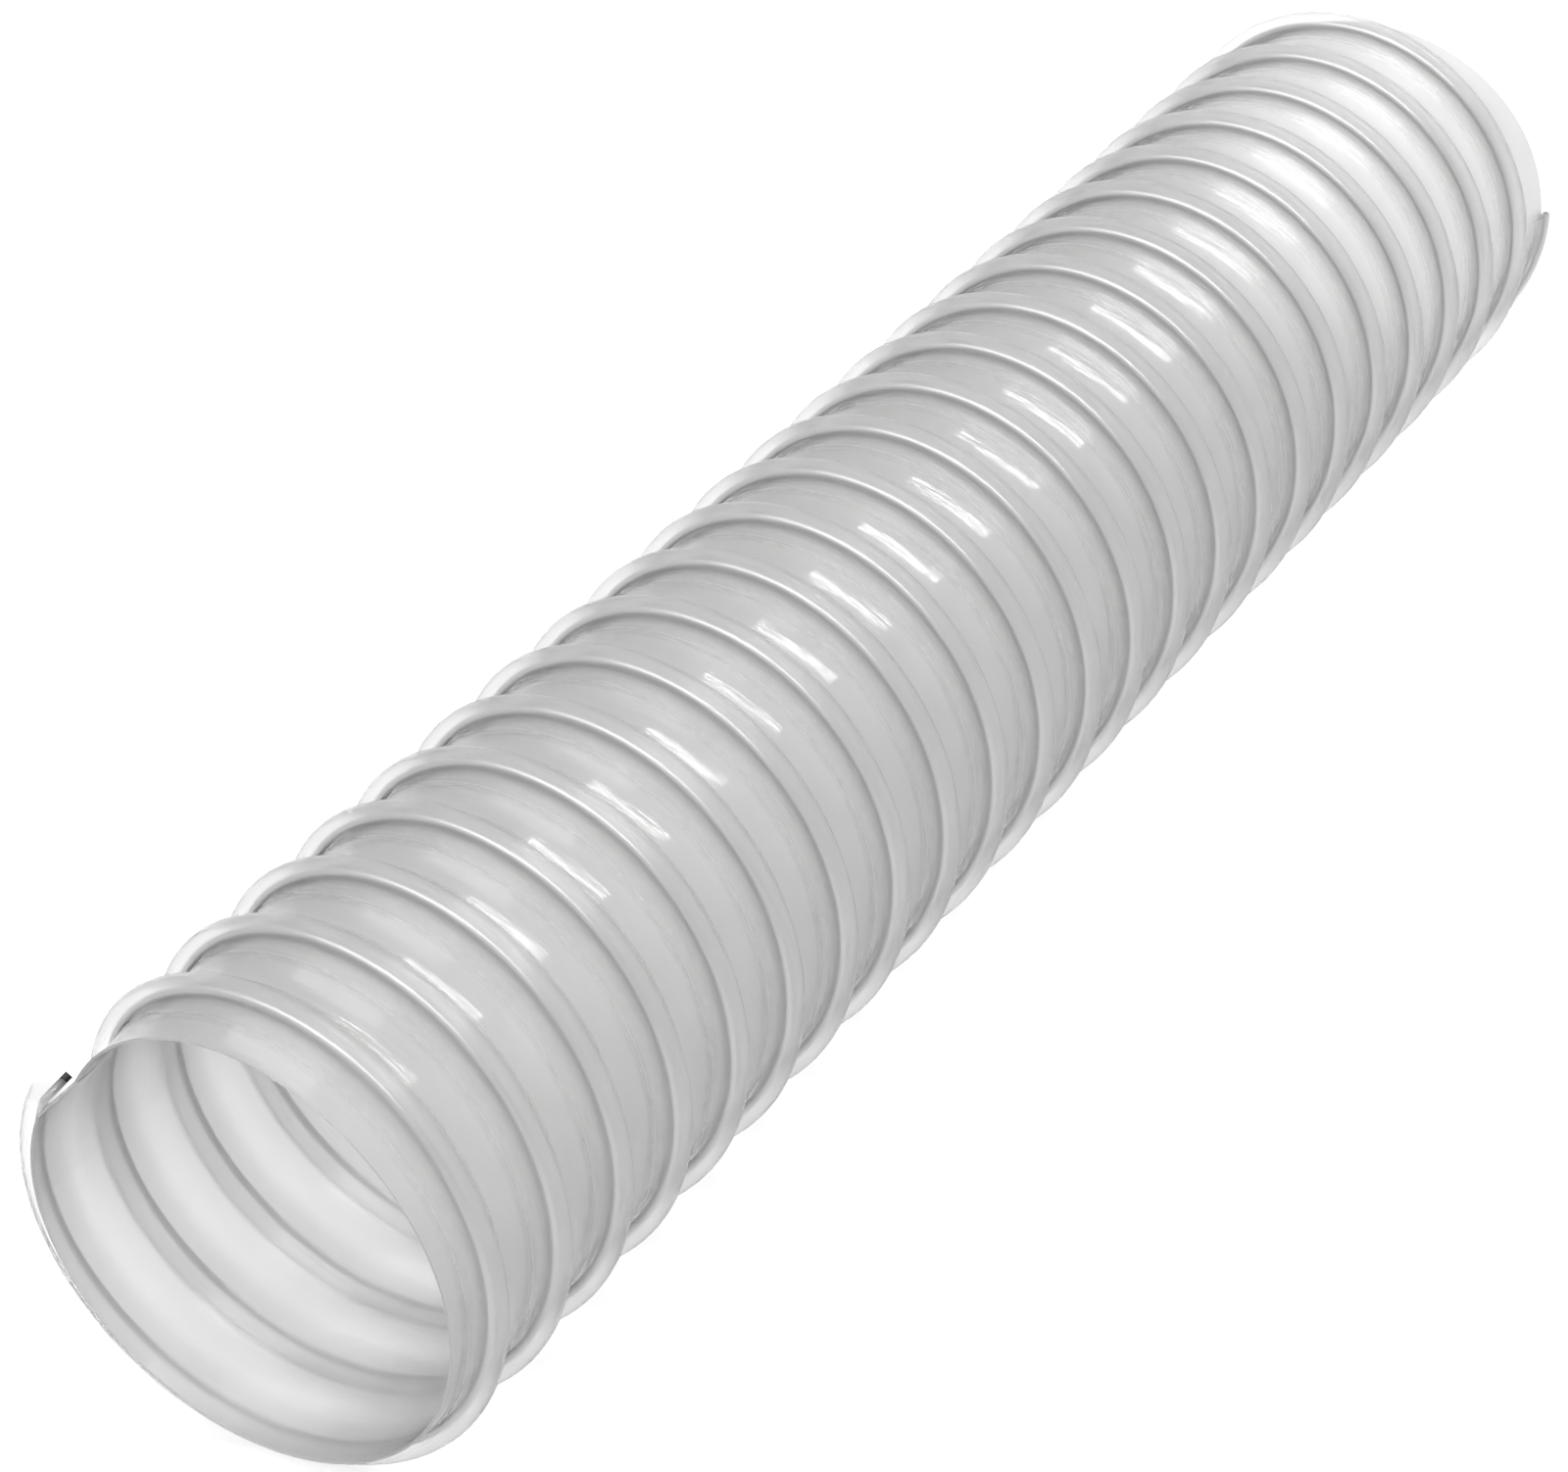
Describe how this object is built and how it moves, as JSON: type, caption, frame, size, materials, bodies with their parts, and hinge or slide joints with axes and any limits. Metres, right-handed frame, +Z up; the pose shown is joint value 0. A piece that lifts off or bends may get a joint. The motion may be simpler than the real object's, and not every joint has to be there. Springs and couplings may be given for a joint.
{
  "type": "flexible air duct",
  "caption": "Clear wire-wound flexible air duct, straight at rest, with a spiral bead over the wire and plain open ends that slip over 100 mm spigots; it bends up, down and sideways.",
  "frame": {"origin": "centre of the near mouth, where the wall film is cut square", "axes": "+X along the duct towards the far mouth, +Z up from the surface that it lies on"},
  "size_m": [0.5326, 0.1108, 0.1103],
  "materials": {
    "wall_film": "clear glossy film, 0.6 mm",
    "bead_film": "clear glossy film, milky where it arches over the wire",
    "wire_steel": "drawn spring steel"
  },
  "bodies": {
    "near_end": {"wall_near_end": "wall_film", "bead_near_end": "bead_film"},
    "turn_01": {"bead_01": "bead_film", "wall_bend_01": "wall_film"},
    "turn_02": {"bead_02": "bead_film", "wall_bend_02": "wall_film"},
    "turn_03": {"bead_03": "bead_film", "wall_bend_03": "wall_film"},
    "turn_04": {"bead_04": "bead_film", "wall_bend_04": "wall_film"},
    "turn_05": {"bead_05": "bead_film", "wall_bend_05": "wall_film"},
    "turn_06": {"bead_06": "bead_film", "wall_bend_06": "wall_film"},
    "turn_07": {"bead_07": "bead_film", "wall_bend_07": "wall_film"},
    "turn_08": {"bead_08": "bead_film", "wall_bend_08": "wall_film"},
    "turn_09": {"bead_09": "bead_film", "wall_bend_09": "wall_film"},
    "turn_10": {"bead_10": "bead_film", "wall_bend_10": "wall_film"},
    "turn_11": {"bead_11": "bead_film", "wall_bend_11": "wall_film"},
    "turn_12": {"bead_12": "bead_film", "wire_helix": "wire_steel", "wall_bend_12": "wall_film", "wall_bend_13": "wall_film"},
    "turn_13": {"bead_13": "bead_film", "wall_bend_14": "wall_film"},
    "turn_14": {"bead_14": "bead_film", "wall_bend_15": "wall_film"},
    "turn_15": {"bead_15": "bead_film", "wall_bend_16": "wall_film"},
    "turn_16": {"bead_16": "bead_film", "wall_bend_17": "wall_film"},
    "turn_17": {"bead_17": "bead_film", "wall_bend_18": "wall_film"},
    "turn_18": {"bead_18": "bead_film", "wall_bend_19": "wall_film"},
    "turn_19": {"bead_19": "bead_film", "wall_bend_20": "wall_film"},
    "turn_20": {"bead_20": "bead_film", "wall_bend_21": "wall_film"},
    "turn_21": {"bead_21": "bead_film", "wall_bend_22": "wall_film"},
    "turn_22": {"bead_22": "bead_film", "wall_bend_23": "wall_film"},
    "turn_23": {"bead_23": "bead_film", "wall_bend_24": "wall_film"},
    "turn_24": {"bead_24": "bead_film", "wall_bend_25": "wall_film"},
    "far_end": {"wall_far_end": "wall_film", "bead_far_end": "bead_film"}
  },
  "joints": [
    {"name": "bend_up", "type": "hinge", "parent": "turn_12", "child": "turn_13", "pos_m": [0.25715, 0, 0], "axis": [0, -1, 0.0005], "range_deg": [-9, 9], "stiffness_Nm_per_rad": 15, "deforming": ["wall_bend_13", "wire_helix"]},
    {"name": "bend_sideways", "type": "hinge", "parent": "turn_13", "child": "turn_14", "pos_m": [0.2738, 0, 0], "axis": [0, 0.0005, 1], "range_deg": [-9, 9], "stiffness_Nm_per_rad": 15, "deforming": ["wall_bend_14", "wire_helix"]},
    {"name": "bend_up_15", "type": "hinge", "parent": "turn_14", "child": "turn_15", "pos_m": [0.29045, 0, 0], "axis": [0, -1, 0.0005], "range_deg": [-9, 9], "stiffness_Nm_per_rad": 15, "deforming": ["wall_bend_15"]},
    {"name": "bend_side_16", "type": "hinge", "parent": "turn_15", "child": "turn_16", "pos_m": [0.3071, 0, 0], "axis": [0, 0.0005, 1], "range_deg": [-9, 9], "stiffness_Nm_per_rad": 15, "deforming": ["wall_bend_16"]},
    {"name": "bend_up_17", "type": "hinge", "parent": "turn_16", "child": "turn_17", "pos_m": [0.32375, 0, 0], "axis": [0, -1, 0.0005], "range_deg": [-9, 9], "stiffness_Nm_per_rad": 15, "deforming": ["wall_bend_17"]},
    {"name": "bend_side_18", "type": "hinge", "parent": "turn_17", "child": "turn_18", "pos_m": [0.3404, 0, 0], "axis": [0, 0.0005, 1], "range_deg": [-9, 9], "stiffness_Nm_per_rad": 15, "deforming": ["wall_bend_18"]},
    {"name": "bend_up_19", "type": "hinge", "parent": "turn_18", "child": "turn_19", "pos_m": [0.35705, 0, 0], "axis": [0, -1, 0.0005], "range_deg": [-9, 9], "stiffness_Nm_per_rad": 15, "deforming": ["wall_bend_19"]},
    {"name": "bend_side_20", "type": "hinge", "parent": "turn_19", "child": "turn_20", "pos_m": [0.3737, 0, 0], "axis": [0, 0.0005, 1], "range_deg": [-9, 9], "stiffness_Nm_per_rad": 15, "deforming": ["wall_bend_20"]},
    {"name": "bend_up_21", "type": "hinge", "parent": "turn_20", "child": "turn_21", "pos_m": [0.39035, 0, 0], "axis": [0, -1, 0.0005], "range_deg": [-9, 9], "stiffness_Nm_per_rad": 15, "deforming": ["wall_bend_21"]},
    {"name": "bend_side_22", "type": "hinge", "parent": "turn_21", "child": "turn_22", "pos_m": [0.407, 0, 0], "axis": [0, 0.0005, 1], "range_deg": [-9, 9], "stiffness_Nm_per_rad": 15, "deforming": ["wall_bend_22"]},
    {"name": "bend_up_23", "type": "hinge", "parent": "turn_22", "child": "turn_23", "pos_m": [0.42365, 0, 0], "axis": [0, -1, 0.0005], "range_deg": [-9, 9], "stiffness_Nm_per_rad": 15, "deforming": ["wall_bend_23"]},
    {"name": "bend_side_24", "type": "hinge", "parent": "turn_23", "child": "turn_24", "pos_m": [0.4403, 0, 0], "axis": [0, 0.0005, 1], "range_deg": [-9, 9], "stiffness_Nm_per_rad": 15, "deforming": ["wall_bend_24"]},
    {"name": "bend_up_25", "type": "hinge", "parent": "turn_24", "child": "far_end", "pos_m": [0.45695, 0, 0], "axis": [0, -1, 0.0005], "range_deg": [-9, 9], "stiffness_Nm_per_rad": 15, "deforming": ["wall_bend_25"]},
    {"name": "bend_side_12", "type": "hinge", "parent": "turn_12", "child": "turn_11", "pos_m": [0.2405, 0, 0], "axis": [0, -0.0005, -1], "range_deg": [-9, 9], "stiffness_Nm_per_rad": 15, "deforming": ["wall_bend_12"]},
    {"name": "bend_up_11", "type": "hinge", "parent": "turn_11", "child": "turn_10", "pos_m": [0.22385, 0, 0], "axis": [0, 1, -0.0005], "range_deg": [-9, 9], "stiffness_Nm_per_rad": 15, "deforming": ["wall_bend_11"]},
    {"name": "bend_side_10", "type": "hinge", "parent": "turn_10", "child": "turn_09", "pos_m": [0.2072, 0, 0], "axis": [0, -0.0005, -1], "range_deg": [-9, 9], "stiffness_Nm_per_rad": 15, "deforming": ["wall_bend_10"]},
    {"name": "bend_up_09", "type": "hinge", "parent": "turn_09", "child": "turn_08", "pos_m": [0.19055, 0, 0], "axis": [0, 1, -0.0005], "range_deg": [-9, 9], "stiffness_Nm_per_rad": 15, "deforming": ["wall_bend_09"]},
    {"name": "bend_side_08", "type": "hinge", "parent": "turn_08", "child": "turn_07", "pos_m": [0.1739, 0, 0], "axis": [0, -0.0005, -1], "range_deg": [-9, 9], "stiffness_Nm_per_rad": 15, "deforming": ["wall_bend_08"]},
    {"name": "bend_up_07", "type": "hinge", "parent": "turn_07", "child": "turn_06", "pos_m": [0.15725, 0, 0], "axis": [0, 1, -0.0005], "range_deg": [-9, 9], "stiffness_Nm_per_rad": 15, "deforming": ["wall_bend_07"]},
    {"name": "bend_side_06", "type": "hinge", "parent": "turn_06", "child": "turn_05", "pos_m": [0.1406, 0, 0], "axis": [0, -0.0005, -1], "range_deg": [-9, 9], "stiffness_Nm_per_rad": 15, "deforming": ["wall_bend_06"]},
    {"name": "bend_up_05", "type": "hinge", "parent": "turn_05", "child": "turn_04", "pos_m": [0.12395, 0, 0], "axis": [0, 1, -0.0005], "range_deg": [-9, 9], "stiffness_Nm_per_rad": 15, "deforming": ["wall_bend_05"]},
    {"name": "bend_side_04", "type": "hinge", "parent": "turn_04", "child": "turn_03", "pos_m": [0.1073, 0, 0], "axis": [0, -0.0005, -1], "range_deg": [-9, 9], "stiffness_Nm_per_rad": 15, "deforming": ["wall_bend_04"]},
    {"name": "bend_up_03", "type": "hinge", "parent": "turn_03", "child": "turn_02", "pos_m": [0.09065, 0, 0], "axis": [0, 1, -0.0005], "range_deg": [-9, 9], "stiffness_Nm_per_rad": 15, "deforming": ["wall_bend_03"]},
    {"name": "bend_side_02", "type": "hinge", "parent": "turn_02", "child": "turn_01", "pos_m": [0.074, 0, 0], "axis": [0, -0.0005, -1], "range_deg": [-9, 9], "stiffness_Nm_per_rad": 15, "deforming": ["wall_bend_02"]},
    {"name": "bend_up_01", "type": "hinge", "parent": "turn_01", "child": "near_end", "pos_m": [0.05735, 0, 0], "axis": [0, 1, -0.0005], "range_deg": [-9, 9], "stiffness_Nm_per_rad": 15, "deforming": ["wall_bend_01"]}
  ],
  "couplings": [
    {"joint": "bend_up_15", "follows": "bend_up", "ratio": 1},
    {"joint": "bend_side_16", "follows": "bend_sideways", "ratio": 1},
    {"joint": "bend_up_17", "follows": "bend_up", "ratio": 1},
    {"joint": "bend_side_18", "follows": "bend_sideways", "ratio": 1},
    {"joint": "bend_up_19", "follows": "bend_up", "ratio": 1},
    {"joint": "bend_side_20", "follows": "bend_sideways", "ratio": 1},
    {"joint": "bend_up_21", "follows": "bend_up", "ratio": 1},
    {"joint": "bend_side_22", "follows": "bend_sideways", "ratio": 1},
    {"joint": "bend_up_23", "follows": "bend_up", "ratio": 1},
    {"joint": "bend_side_24", "follows": "bend_sideways", "ratio": 1},
    {"joint": "bend_up_25", "follows": "bend_up", "ratio": 1},
    {"joint": "bend_side_12", "follows": "bend_sideways", "ratio": 1},
    {"joint": "bend_up_11", "follows": "bend_up", "ratio": 1},
    {"joint": "bend_side_10", "follows": "bend_sideways", "ratio": 1},
    {"joint": "bend_up_09", "follows": "bend_up", "ratio": 1},
    {"joint": "bend_side_08", "follows": "bend_sideways", "ratio": 1},
    {"joint": "bend_up_07", "follows": "bend_up", "ratio": 1},
    {"joint": "bend_side_06", "follows": "bend_sideways", "ratio": 1},
    {"joint": "bend_up_05", "follows": "bend_up", "ratio": 1},
    {"joint": "bend_side_04", "follows": "bend_sideways", "ratio": 1},
    {"joint": "bend_up_03", "follows": "bend_up", "ratio": 1},
    {"joint": "bend_side_02", "follows": "bend_sideways", "ratio": 1},
    {"joint": "bend_up_01", "follows": "bend_up", "ratio": 1}
  ]
}
